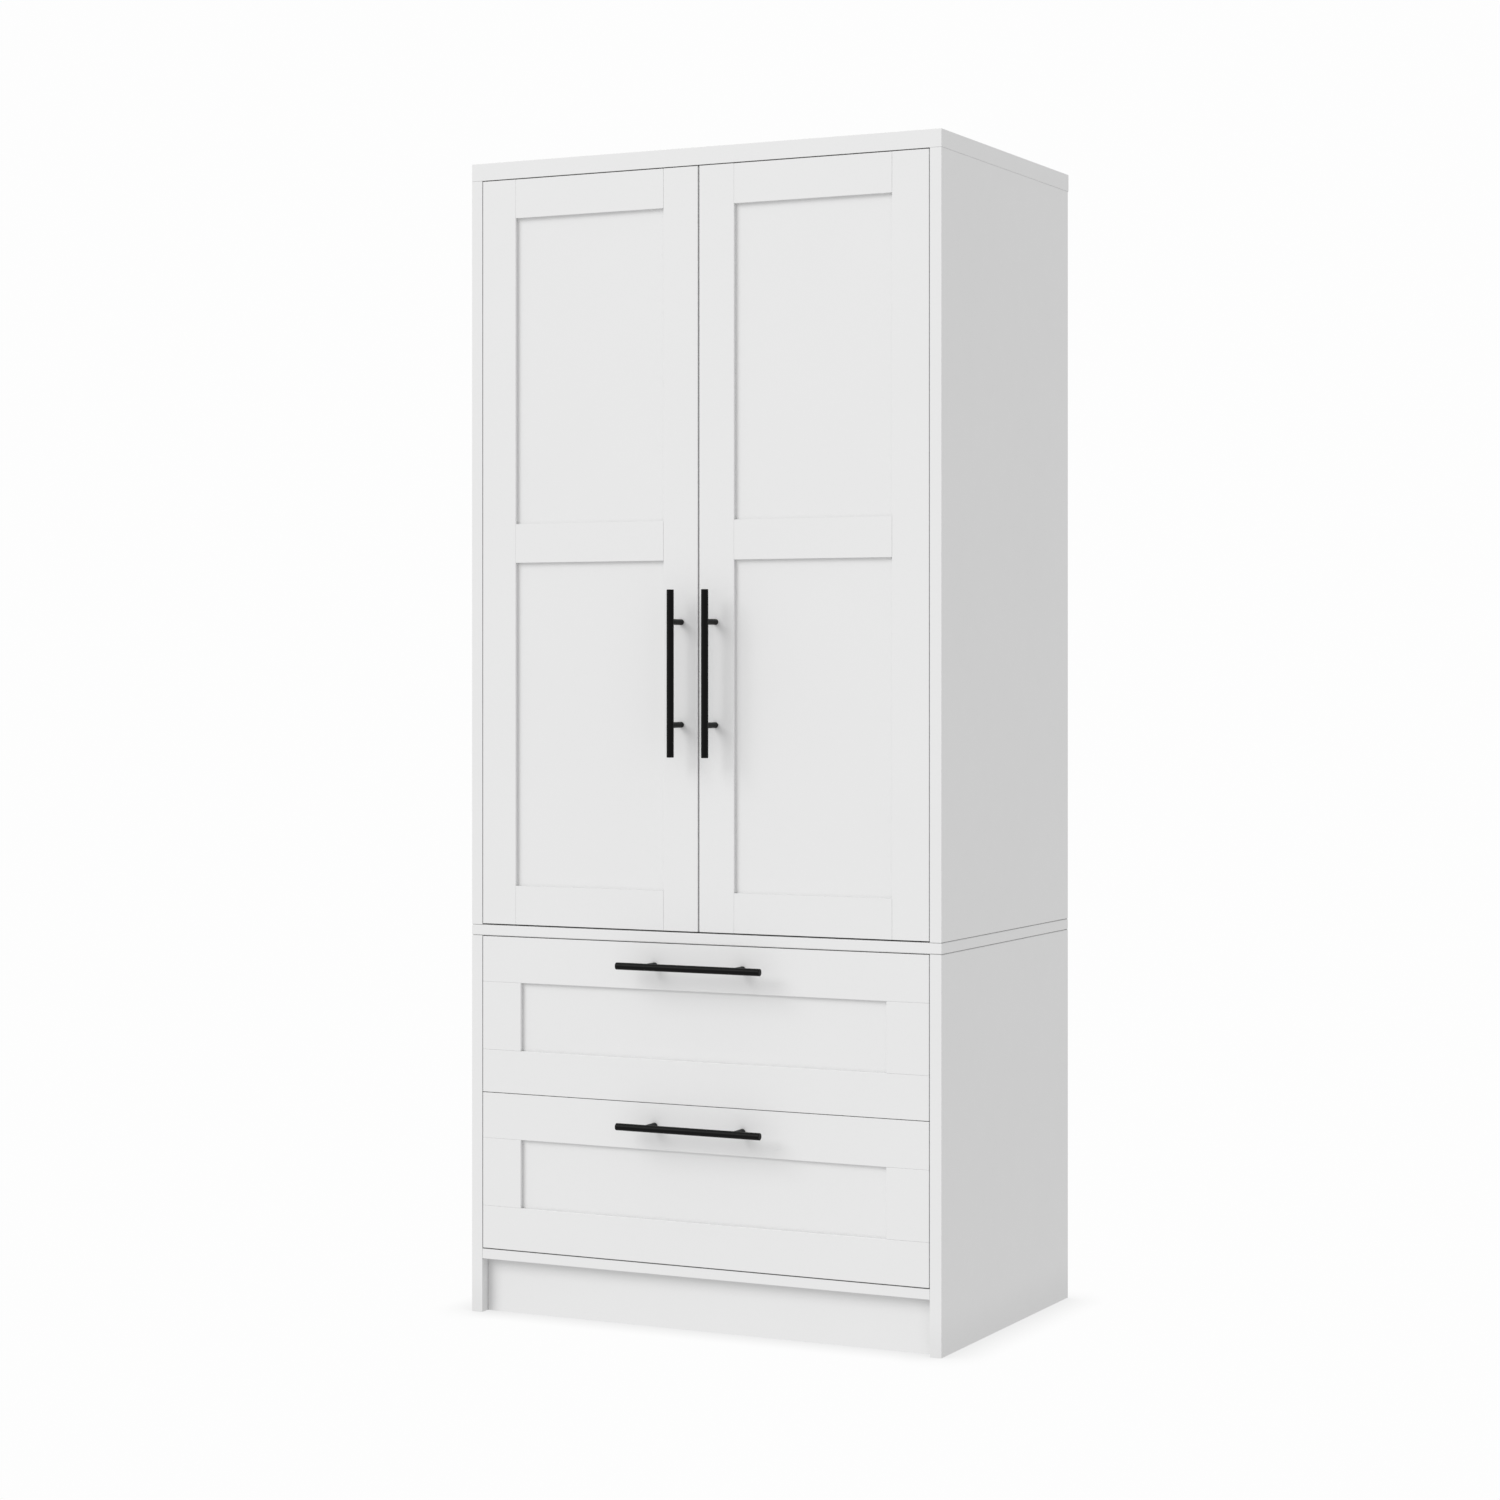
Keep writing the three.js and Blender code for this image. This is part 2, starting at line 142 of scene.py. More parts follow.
SCREW_RADIUS = 3.6 * MM
SCREW_HEIGHT = 1.6 * MM
CROSS_ARM_HALF_ANGLE = math.radians(16)
CROSS_WAIST = 0.36

ROD_EDGE = 1 * MM
SOCKET_DEPTH = 3 * MM
SOCKET_SCREW_REACH = 21 * MM
SOCKET_SCREW_RADIUS = 2.8 * MM
SOCKET_SCREW_HEIGHT = 1.1 * MM

SLIDE_WALL = 1.2 * MM
SLIDE_LIP = 3.2 * MM
SLIDE_SCREW_SHARES = (0.08, 0.5, 0.92)
CHANNEL_WEB = 1.5 * MM
CHANNEL_SCREW_OFFSET = 12 * MM
CHANNEL_SCREW_RADIUS = 2.6 * MM
CHANNEL_SCREW_HEIGHT = 0.5 * MM
RUNNER_SCREW_RADIUS = 3 * MM
RUNNER_SCREW_HEIGHT = 1 * MM

BACK_SEAM = 1 * MM
NAIL_RADIUS = 1.8 * MM
NAIL_HEIGHT = 0.5 * MM
NAIL_SPACING = 140 * MM
NAIL_SIDE_MARGIN = 9 * MM
NAIL_FOOT_MARGIN = 20 * MM
NAIL_HEAD_MARGIN = 8 * MM
NAIL_SEAM_MARGIN = 4 * MM

CAM_RADIUS = 8.5 * MM
CAM_HEIGHT = 0.8 * MM
CAM_INSET = 34 * MM
CAM_FRONT_MARGIN = 90 * MM
CAM_REAR_MARGIN = 60 * MM
BOX_FASTENER_SHARES = (0.22, 0.78)
BOX_SCREW_RADIUS = 3.4 * MM
BOX_SCREW_HEIGHT = 1.1 * MM

# ------------------------------------------------------------------ camera
CAMERA_YAW = math.radians(26.341)
CAMERA_HEIGHT = 1.019
CAMERA_DEPTH = 4.8351
CAMERA_OFFSET = 0.2803
CAMERA_LENS = 79.32
CAMERA_SENSOR = 36
CAMERA_RISE = -0.0587

# ------------------------------------------------------------------ light and floor
AMBIENT = 0.745
BACKGROUND = 0.985
KEY_STRENGTH = 1.18
KEY_SOFTNESS = math.radians(36)
KEY_DIRECTION = Vector((0.49, 0.68, -0.55))
# The floor's painted contact shadow: how far it reaches and how dark it gets.
CONTACT_DISTANCE = 0.07
CONTACT_SHADE = 0.84
FLOOR_REACH = 40


# ================================================================== node material helpers
def new_material(name):
    material = bpy.data.materials.new(name)
    material.use_nodes = True
    shader = material.node_tree.nodes["Principled BSDF"]
    return material, material.node_tree, shader


def add_noise(tree, scale, detail=2.0, stretch=(1, 1, 1)):
    """Noise laid over the object's own space, in features per metre."""
    coordinates = tree.nodes.new("ShaderNodeTexCoord")
    mapping = tree.nodes.new("ShaderNodeMapping")
    mapping.inputs["Scale"].default_value = stretch
    noise = tree.nodes.new("ShaderNodeTexNoise")
    noise.inputs["Scale"].default_value = scale
    noise.inputs["Detail"].default_value = detail
    tree.links.new(coordinates.outputs["Object"], mapping.inputs["Vector"])
    tree.links.new(mapping.outputs["Vector"], noise.inputs["Vector"])
    return noise.outputs["Fac"]


def spread(tree, factor, low, high):
    """Maps the middle of a 0 to 1 noise onto low to high."""
    node = tree.nodes.new("ShaderNodeMapRange")
    node.inputs["From Min"].default_value = 0.3
    node.inputs["From Max"].default_value = 0.7
    node.inputs["To Min"].default_value = low
    node.inputs["To Max"].default_value = high
    tree.links.new(factor, node.inputs["Value"])
    return node.outputs["Result"]


def blend_colours(tree, factor, low, high):
    node = tree.nodes.new("ShaderNodeMix")
    node.data_type = "RGBA"
    node.inputs["A"].default_value = (*low, 1)
    node.inputs["B"].default_value = (*high, 1)
    tree.links.new(factor, node.inputs["Factor"])
    return node.outputs["Result"]


def bump(tree, shader, height, distance, strength):
    node = tree.nodes.new("ShaderNodeBump")
    node.inputs["Distance"].default_value = distance
    node.inputs["Strength"].default_value = strength
    tree.links.new(height, node.inputs["Height"])
    tree.links.new(node.outputs["Normal"], shader.inputs["Normal"])


def multiply_colour(tree, colour, factor):
    node = tree.nodes.new("ShaderNodeMix")
    node.data_type = "RGBA"
    node.blend_type = "MULTIPLY"
    node.inputs["Factor"].default_value = 1
    tree.links.new(colour, node.inputs["A"])
    tree.links.new(factor, node.inputs["B"])
    return node.outputs["Result"]


def paint_crease_shade(tree, colour, reach, depth):
    """Painted shade: multiplies a colour down where other surfaces come closer than reach, as in
    creases, corners and recesses.
    """
    nearness = tree.nodes.new("ShaderNodeAmbientOcclusion")
    nearness.inputs["Distance"].default_value = reach
    nearness.samples = 4
    shade = tree.nodes.new("ShaderNodeMapRange")
    shade.inputs["From Min"].default_value = 0.5
    shade.inputs["From Max"].default_value = 0.95
    shade.inputs["To Min"].default_value = 1 - depth
    shade.inputs["To Max"].default_value = 1
    tree.links.new(nearness.outputs["AO"], shade.inputs["Value"])
    return multiply_colour(tree, colour, shade.outputs["Result"])


def paint_shade_near_floor(tree, colour):
    """Painted shade: multiplies a colour down over the last few centimetres above the floor."""
    coordinates = tree.nodes.new("ShaderNodeTexCoord")
    parts = tree.nodes.new("ShaderNodeSeparateXYZ")
    shade = tree.nodes.new("ShaderNodeMapRange")
    shade.interpolation_type = "SMOOTHSTEP"
    shade.inputs["From Min"].default_value = 0
    shade.inputs["From Max"].default_value = FLOOR_SHADE_HEIGHT
    shade.inputs["To Min"].default_value = 1 - FLOOR_SHADE_DEPTH
    shade.inputs["To Max"].default_value = 1
    tree.links.new(coordinates.outputs["Object"], parts.inputs["Vector"])
    tree.links.new(parts.outputs["Z"], shade.inputs["Value"])
    return multiply_colour(tree, colour, shade.outputs["Result"])


# ================================================================== materials
def painted_board(name, crease_shade_reach, crease_shade_depth, with_floor_shade=False):
    """Satin white paint with a faint roller texture, a barely uneven tone, painted shade in its creases
    and corners and, if asked, painted shade near the floor.
    """
    material, tree, shader = new_material(name)
    tone = spread(tree, add_noise(tree, 5.0, detail=3.0), 0, 1)
    colour = blend_colours(tree, tone, (0.792, 0.792, 0.792), (0.798, 0.798, 0.798))
    colour = paint_crease_shade(tree, colour, crease_shade_reach, crease_shade_depth)
    if with_floor_shade:
        colour = paint_shade_near_floor(tree, colour)
    tree.links.new(colour, shader.inputs["Base Color"])
    tree.links.new(spread(tree, add_noise(tree, 34.0), 0.44, 0.54), shader.inputs["Roughness"])
    bump(tree, shader, add_noise(tree, 620.0), distance=0.06 * MM, strength=0.35)
    return material


def white_hardboard():
    """Thin pressed board under a printed white film, a little duller than the paint."""
    material, tree, shader = new_material("white_hardboard")
    fibres = spread(tree, add_noise(tree, 420.0, detail=4.0, stretch=(1, 1, 0.35)), 0, 1)
    colour = blend_colours(tree, fibres, (0.79, 0.79, 0.785), (0.815, 0.815, 0.81))
    tree.links.new(colour, shader.inputs["Base Color"])
    tree.links.new(spread(tree, add_noise(tree, 60.0), 0.55, 0.68), shader.inputs["Roughness"])
    bump(tree, shader, add_noise(tree, 900.0, detail=3.0), distance=0.08 * MM, strength=0.4)
    return material


def black_powder():
    """Fine matte black powder coat with its small grain."""
    material, tree, shader = new_material("black_powder")
    grain = add_noise(tree, 1900.0, detail=3.0)
    tone = spread(tree, grain, 0, 1)
    colour = blend_colours(tree, tone, (0.0015, 0.0015, 0.0015), (0.0045, 0.0045, 0.0045))
    tree.links.new(colour, shader.inputs["Base Color"])
    shader.inputs["Specular IOR Level"].default_value = 0.11
    tree.links.new(spread(tree, add_noise(tree, 240.0), 0.36, 0.46), shader.inputs["Roughness"])
    bump(tree, shader, grain, distance=0.05 * MM, strength=0.5)
    return material


def zinc_plate():
    """Bright zinc over rolled steel, with faint lengthwise rolling marks."""
    material, tree, shader = new_material("zinc_plate")
    shader.inputs["Metallic"].default_value = 1.0
    rolling = add_noise(tree, 90.0, detail=4.0, stretch=(6, 0.4, 6))
    tone = spread(tree, rolling, 0, 1)
    colour = blend_colours(tree, tone, (0.52, 0.535, 0.55), (0.66, 0.67, 0.68))
    tree.links.new(colour, shader.inputs["Base Color"])
    tree.links.new(spread(tree, rolling, 0.24, 0.4), shader.inputs["Roughness"])
    bump(tree, shader, add_noise(tree, 700.0), distance=0.03 * MM, strength=0.3)
    return material


def chrome_plate():
    """Polished chrome with fine handling marks."""
    material, tree, shader = new_material("chrome_plate")
    shader.inputs["Metallic"].default_value = 1.0
    marks = add_noise(tree, 140.0, detail=5.0, stretch=(0.3, 3, 3))
    tone = spread(tree, marks, 0, 1)
    colour = blend_colours(tree, tone, (0.74, 0.75, 0.76), (0.8, 0.81, 0.82))
    tree.links.new(colour, shader.inputs["Base Color"])
    tree.links.new(spread(tree, marks, 0.07, 0.16), shader.inputs["Roughness"])
    return material


def white_plastic():
    """Moulded white plastic of the fastener covers."""
    material, tree, shader = new_material("white_plastic")
    tone = spread(tree, add_noise(tree, 55.0), 0, 1)
    colour = blend_colours(tree, tone, (0.78, 0.78, 0.77), (0.83, 0.83, 0.82))
    tree.links.new(colour, shader.inputs["Base Color"])
    tree.links.new(spread(tree, add_noise(tree, 300.0), 0.3, 0.4), shader.inputs["Roughness"])
    return material


def pale_floor():
    """An even pale floor, dimmed a little by a painted contact shadow where something meets it."""
    material = bpy.data.materials.new("pale_floor")
    material.use_nodes = True
    tree = material.node_tree
    tree.nodes.clear()
    contact = tree.nodes.new("ShaderNodeAmbientOcclusion")
    contact.inputs["Distance"].default_value = CONTACT_DISTANCE
    contact.samples = 16
    level = tree.nodes.new("ShaderNodeMapRange")
    level.inputs["From Min"].default_value = 0.45
    level.inputs["From Max"].default_value = 1
    level.inputs["To Min"].default_value = BACKGROUND * CONTACT_SHADE
    level.inputs["To Max"].default_value = BACKGROUND
    glow = tree.nodes.new("ShaderNodeEmission")
    output = tree.nodes.new("ShaderNodeOutputMaterial")
    tree.links.new(contact.outputs["AO"], level.inputs["Value"])
    tree.links.new(level.outputs["Result"], glow.inputs["Strength"])
    tree.links.new(glow.outputs["Emission"], output.inputs["Surface"])
    return material


# The board paints darken their creases and corners with painted shade: the carcass copy more strongly,
# and with painted shade near the floor; the plinth copy over a wider reach.
MATERIALS = {
    "painted_board": painted_board("painted_board", FRONT_CREASE_SHADE_REACH, FRONT_CREASE_SHADE_DEPTH),
    "white_hardboard": white_hardboard(),
    "black_metal": black_powder(),
    "zinc_steel": zinc_plate(),
    "chromed_steel": chrome_plate(),
}
CARCASS_PAINT = painted_board(
    "painted_carcass", CARCASS_CREASE_SHADE_REACH, CARCASS_CREASE_SHADE_DEPTH, with_floor_shade=True)
PLINTH_PAINT = painted_board("painted_plinth", PLINTH_CREASE_SHADE_REACH, PLINTH_CREASE_SHADE_DEPTH)
WHITE_PLASTIC = white_plastic()


# ================================================================== mesh helpers
def finish_piece(mesh_data, name, body, slot, material=None):
    """Turns a bmesh into a named piece that rides on a body and wears a slot's material.

    A piece without a body is left unattached.
    """
    bmesh.ops.recalc_face_normals(mesh_data, faces=mesh_data.faces)
    mesh = bpy.data.meshes.new(name)
    mesh_data.to_mesh(mesh)
    mesh_data.free()
    mesh.shade_smooth()
    mesh.set_sharp_from_angle(angle=SHARP_ANGLE)
    mesh.materials.append(material or MATERIALS[slot])
    piece = bpy.data.objects.new(name, mesh)
    bpy.context.scene.collection.objects.link(piece)
    evening = piece.modifiers.new("even_normals", "WEIGHTED_NORMAL")
    evening.keep_sharp = True
    if body:
        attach(piece, body)
    return piece


def add_box(mesh_data, low, high, edge=0, segments=3):
    """A box between two corners with rounded edges, added to mesh_data."""
    size = Vector(high) - Vector(low)
    middle = (Vector(high) + Vector(low)) / 2
    place = Matrix.Translation(middle) @ Matrix.Diagonal((*size, 1))
    made = bmesh.ops.create_cube(mesh_data, size=1.0, matrix=place)
    if edge > 0:
        edges = list({e for v in made["verts"] for e in v.link_edges})
        bmesh.ops.bevel(mesh_data, geom=edges, offset=edge, segments=segments, profile=0.5,
                        affect="EDGES", clamp_overlap=True)


def axes_along(axis):
    """Two unit vectors square to axis and to each other."""
    helper = Z_AXIS if abs(axis.z) < 0.9 else X_AXIS
    first = axis.cross(helper).normalized()
    return first, axis.cross(first).normalized()


def add_lathe(mesh_data, origin, axis, profile, segments=32):
    """A body of revolution. profile is a list of (radius, distance along axis).

    A radius may also be a function of the angle, which makes that ring other than round.
    """
    origin = Vector(origin)
    axis = Vector(axis).normalized()
    first, second = axes_along(axis)
    rings = []
    for radius, distance in profile:
        centre = origin + axis * distance
        if radius == 0:
            rings.append([mesh_data.verts.new(centre)])
            continue
        ring = []
        for step in range(segments):
            angle = 2 * math.pi * step / segments
            offset = first * math.cos(angle) + second * math.sin(angle)
            reach = radius(angle) if callable(radius) else radius
            ring.append(mesh_data.verts.new(centre + offset * reach))
        rings.append(ring)
    for lower, upper in zip(rings, rings[1:]):
        bridge(mesh_data, lower, upper, segments)


def bridge(mesh_data, lower, upper, segments):
    """Faces between two rings, either of which may be a single point."""
    for step in range(segments):
        following = (step + 1) % segments
        if len(lower) == 1:
            corners = [lower[0], upper[following], upper[step]]
        elif len(upper) == 1:
            corners = [lower[step], lower[following], upper[0]]
        else:
            corners = [lower[step], lower[following], upper[following], upper[step]]
        mesh_data.faces.new(corners)


def rounded_disc(radius, height, edge):
    """The profile of a disc with a rounded outer rim, from its foot to the middle of its top."""
    profile = [(0, 0), (radius, 0), (radius, height - edge)]
    for step in range(1, 4):
        angle = math.pi / 2 * step / 3
        profile.append((radius - edge + edge * math.cos(angle), height - edge + edge * math.sin(angle)))
    profile.append((0, height))
    return profile


def add_prism(mesh_data, outline, direction, edge):
    """A closed outline of 3-D points swept along direction, with its edges rounded."""
    bottom = [mesh_data.verts.new(point) for point in outline]
    top = [mesh_data.verts.new(point + direction) for point in outline]
    faces = [mesh_data.faces.new(bottom), mesh_data.faces.new(list(reversed(top)))]
    for index in range(len(outline)):
        following = (index + 1) % len(outline)
        corners = [bottom[index], top[index], top[following], bottom[following]]
        faces.append(mesh_data.faces.new(corners))
    edges = list({e for face in faces for e in face.edges})
    bmesh.ops.bevel(mesh_data, geom=edges, offset=edge, segments=2, profile=0.5,
                    affect="EDGES", clamp_overlap=True)


def cross_outline(reach):
    """The rim of a cross recess, as a radius for each angle, with four arms of the given reach."""
    def radius_at(angle):
        from_arm = (angle + math.pi / 4) % (math.pi / 2) - math.pi / 4
        return reach if abs(from_arm) < CROSS_ARM_HALF_ANGLE else reach * CROSS_WAIST
    return radius_at


def add_screw(mesh_data, place, out, radius=SCREW_RADIUS, height=SCREW_HEIGHT):
    """A pan-head screw: a domed head with a cross recess sunk into it."""
    rim_height = height * 0.25
    crown_radius = radius * 0.62
    profile = [(0, -height), (radius * 0.5, -height), (radius, 0), (radius, rim_height)]
    for step in range(1, 5):
        angle = math.pi / 2 * step / 4
        ring_radius = crown_radius + (radius - crown_radius) * math.cos(angle)
        profile.append((ring_radius, rim_height + (height - rim_height) * math.sin(angle)))
    recess = cross_outline(radius * 0.54)
    profile += [(recess, height), (recess, height * 0.45), (0, height * 0.35)]
    add_lathe(mesh_data, place, out, profile, segments=24)


# ================================================================== carried-over boards
def repaint(mesh, material):
    """Gives a CAD mesh its one material, and drops the normals that it came with."""
    if "custom_normal" in mesh.attributes:
        mesh.attributes.remove(mesh.attributes["custom_normal"])
    mesh.materials.clear()
    mesh.materials.append(material)


def dress_node(name, material, edge):
    """Keeps a CAD node, welds it, rounds its edges and gives it its material."""
    node = frame["nodes"][name]
    repaint(node.data, material)
    node.data.shade_smooth()
    weld = node.modifiers.new("weld", "WELD")
    weld.merge_threshold = SAME
    rounding = node.modifiers.new("rounded_edges", "BEVEL")
    rounding.width = edge
    rounding.segments = 3
    rounding.limit_method = "ANGLE"
    rounding.angle_limit = BEVEL_ANGLE
    rounding.harden_normals = True


def dress_bored_panel(name):
    """Keeps a door's backing panel with crisp edges: its rim and its cup bores are covered."""
    mesh = frame["nodes"][name].data
    repaint(mesh, MATERIALS["painted_board"])
    mesh.shade_flat()


def dress_boards():
    """Dresses every CAD node. Those that other pieces stand for are hidden later."""
    edges = {
        "painted_board": BOARD_EDGE,
        "white_hardboard": SHEET_EDGE,
        "zinc_steel": METAL_EDGE,
        "chromed_steel": METAL_EDGE,
        "black_metal": METAL_EDGE,
    }
    strip_words = ("_stile", "_rail")
    # These boards wear copies of the paint with stronger or wider painted crease shade.
    carcass_paints = {
        "top_panel": CARCASS_PAINT,
        "bottom_panel": CARCASS_PAINT,
        "plinth": PLINTH_PAINT,
    }
    for part in frame["record"]["subparts"]:
        name = part["node"]
        slot = part["material_slot"]
        edge = edges[slot]
        if name.endswith("door_panel"):
            dress_bored_panel(name)
            continue
        if "door" in name and name.endswith(strip_words):
            edge = STRIP_EDGE
        dress_node(name, carcass_paints.get(name, MATERIALS[slot]), edge)


def build_eased_board(name, joint_levels):
    """A carcass board whose outer edges at the given joints are eased wider than the rest."""
    low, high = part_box(name)
    outer_x = max(abs(low.x), abs(high.x))
    mesh_data = bmesh.new()
    add_box(mesh_data, low, high)
    board = finish_piece(mesh_data, f"{name}_board", "carcass", "painted_board", CARCASS_PAINT)
    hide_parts(name)

    mesh = board.data
    share = mesh.attributes.new("bevel_weight_edge", "FLOAT", "EDGE")
    for edge in mesh.edges:
        ends = [mesh.vertices[index].co for index in edge.vertices]
        outermost = all(abs(abs(end.x) - outer_x) < SAME for end in ends)
        at_joint = any(all(abs(end.z - level) < SAME for end in ends) for level in joint_levels)
        share.data[edge.index].value = 1 if outermost and at_joint else BOARD_EDGE / JOINT_EASE
    rounding = board.modifiers.new("rounded_edges", "BEVEL")
    rounding.width = JOINT_EASE
    rounding.segments = 3
    rounding.limit_method = "WEIGHT"
    rounding.harden_normals = True


def build_jointed_boards():
    """The full-width middle board and the side boards that meet it from above and below."""
    low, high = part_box("middle_panel")
    for name in ("middle_panel", *SIDE_BOARDS):
        build_eased_board(name, (low.z, high.z))


# ================================================================== drawer fronts
def build_drawer_frame(drawer):
    """Two full-width rails with two stiles between them, in place of the joined frame."""
    node = f"{drawer}_front_frame"
    low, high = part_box(node)
    rail_top = high.z - DRAWER_TOP_RAIL
    rail_bottom = low.z + DRAWER_BOTTOM_RAIL
    strips = {
        "top_rail": ((low.x, low.y, rail_top), (high.x, high.y, high.z)),
        "bottom_rail": ((low.x, low.y, low.z), (high.x, high.y, rail_bottom)),
        "left_stile": ((low.x, low.y, rail_bottom), (low.x + DRAWER_STILE, high.y, rail_top)),
        "right_stile": ((high.x - DRAWER_STILE, low.y, rail_bottom), (high.x, high.y, rail_top)),
    }
    for word, (start, end) in strips.items():
        mesh_data = bmesh.new()
        add_box(mesh_data, start, end, STRIP_EDGE)
        strip = finish_piece(mesh_data, f"{drawer}_{word}", drawer, "painted_board")
        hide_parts(node)


# ================================================================== where the nodes lie
def inner_face(node, sign):
    """The x at which a node on that side of the cabinet ends towards the middle."""
    low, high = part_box(node)
    return high.x if sign < 0 else low.x


def outer_face(node, sign):
    """The x at which a node on that side of the cabinet ends towards the outside."""
    low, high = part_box(node)
    return low.x if sign < 0 else high.x


def centre_of(node):
    low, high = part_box(node)
    return (low + high) / 2


# ================================================================== bar pulls
def bar_profile(length):
    """A round bar with chamfered, slightly crowned ends."""
    return [
        (0, 0),
        (BAR_RADIUS - BAR_CHAMFER, 0),
        (BAR_RADIUS - BAR_CHAMFER * 0.25, BAR_CHAMFER * 0.25),
        (BAR_RADIUS, BAR_CHAMFER),
        (BAR_RADIUS, length - BAR_CHAMFER),
        (BAR_RADIUS - BAR_CHAMFER * 0.25, length - BAR_CHAMFER * 0.25),
        (BAR_RADIUS - BAR_CHAMFER, length),
        (0, length),
    ]


def build_handle(body):
    """A bar on two posts, with the two screws that hold it from behind the front."""
    node = f"{body}_handle"
    low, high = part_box(node)
    size = high - low
    along = Z_AXIS if size.z > size.x else X_AXIS
    length = max(size.x, size.z)
    post_spacing = DOOR_POST_SPACING if along is Z_AXIS else DRAWER_POST_SPACING
    centre = (low + high) / 2
    bar_centre = Vector((centre.x, low.y + BAR_RADIUS, centre.z))

    mesh_data = bmesh.new()
    add_lathe(mesh_data, bar_centre - along * length / 2, along, bar_profile(length), segments=48)
    bar = finish_piece(mesh_data, f"{node}_bar", body, "black_metal")
    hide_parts(node)

    panel_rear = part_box(f"{body}_panel" if "door" in body else f"{body}_front_panel")[1].y
    post_length = high.y - bar_centre.y - BAR_RADIUS / 2
    profile = [
        (0, 0),
        (POST_RADIUS - POST_EDGE, 0),
        (POST_RADIUS, POST_EDGE),
        (POST_RADIUS, post_length),
        (0, post_length),
    ]
    screws = bmesh.new()
    for word, sign in (("a", -1), ("b", 1)):
        foot = Vector((centre.x, high.y, centre.z)) + along * (sign * post_spacing / 2)
        mesh_data = bmesh.new()
        add_lathe(mesh_data, foot, -Y_AXIS, profile, segments=40)
        post = finish_piece(mesh_data, f"{node}_post_{word}", body, "black_metal")
        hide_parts(node)
        screw_place = (foot.x, panel_rear, foot.z)
        add_screw(screws, screw_place, Y_AXIS, PULL_SCREW_RADIUS, PULL_SCREW_HEIGHT)
    finish_piece(screws, f"{node}_screws", body, "zinc_steel")


# ================================================================== cup hinges
def cup_profile():
    """A pressed cup's wall from the middle of its underside, round its flange, to its floor."""
    floor = CUP_FLOOR - CUP_DEPTH
    return [
        (0, -CUP_DEPTH),
        (CUP_RADIUS - CUP_ROUNDING, -CUP_DEPTH),
        (CUP_RADIUS, CUP_ROUNDING - CUP_DEPTH),
        (CUP_RADIUS, 0),
        (CUP_FLANGE_RADIUS, 0),
        (CUP_FLANGE_RADIUS, CUP_FLANGE - CUP_FLANGE_EDGE * 0.8),
        (CUP_FLANGE_RADIUS - CUP_FLANGE_EDGE, CUP_FLANGE),
        (CUP_BORE_RADIUS + CUP_MOUTH_EDGE, CUP_FLANGE),
        (CUP_BORE_RADIUS, CUP_FLANGE - CUP_MOUTH_EDGE),
        (CUP_BORE_RADIUS, floor + CUP_ROUNDING),
        (CUP_BORE_RADIUS - CUP_ROUNDING, floor),
        (0, floor),
    ]


def build_hinge_cup(word, place):
    """A pressed cup in the door with its two screw wings, the cross pin and the short lever."""
    node = f"{word}_hinge_cup_{place}"
    body = f"{word}_door"
    middle = centre_of(node)
    face_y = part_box(f"{word}_door_panel")[1].y
    mouth = Vector((middle.x, face_y, middle.z))

    mesh_data = bmesh.new()
    add_lathe(mesh_data, mouth, Y_AXIS, cup_profile(), segments=48)
    cup = finish_piece(mesh_data, f"{node}_dish", body, "zinc_steel")
    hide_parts(node)

    wings = bmesh.new()
    screws = bmesh.new()
    wing_face = face_y + WING_THICKNESS
    for sign in (-1, 1):
        near = middle.z + sign * (CUP_FLANGE_RADIUS - WING_OVERLAP)
        far = middle.z + sign * WING_REACH
        low = (middle.x - WING_HALF_WIDTH, face_y, min(near, far))
        high = (middle.x + WING_HALF_WIDTH, wing_face, max(near, far))
        add_box(wings, low, high, WING_EDGE, segments=2)
        add_screw(screws, (middle.x, wing_face, middle.z + sign * WING_SCREW_REACH), Y_AXIS)
    finish_piece(wings, f"{node}_wings", body, "zinc_steel")
    finish_piece(screws, f"{node}_screws", body, "zinc_steel")

    lever = bmesh.new()
    pin_start = mouth + Vector((0, -PIN_DEPTH, -PIN_LENGTH / 2))
    add_lathe(lever, pin_start, Z_AXIS, rounded_disc(PIN_RADIUS, PIN_LENGTH, PIN_EDGE), segments=20)
    add_box(lever, mouth + LEVER_LOW, mouth + LEVER_HIGH, LEVER_EDGE, segments=2)
    finish_piece(lever, f"{node}_lever", body, "zinc_steel")


def arm_outline(sign, side_x, front_y, level):
    """The folded arm seen from above: from its mounting plate, over a step, to its nose at the cup.

    Each point is so far across from the side board and so far back from the front.
    """
    points = [
        (PLATE_THICKNESS, 47 * MM),
        (PLATE_THICKNESS, 94 * MM),
        (11 * MM, 97 * MM),
        (14 * MM, 95 * MM),
        (ARM_TOP, 90 * MM),
        (ARM_TOP, 56 * MM),
        (20 * MM, 47 * MM),
        (33 * MM, 34 * MM),
        (34 * MM, 31 * MM),
        (34 * MM, 25 * MM),
        (32 * MM, 23 * MM),
        (24 * MM, 23 * MM),
        (21 * MM, 26 * MM),
        (10 * MM, 42 * MM),
    ]
    return [Vector((side_x - sign * across, front_y + back, level)) for across, back in points]


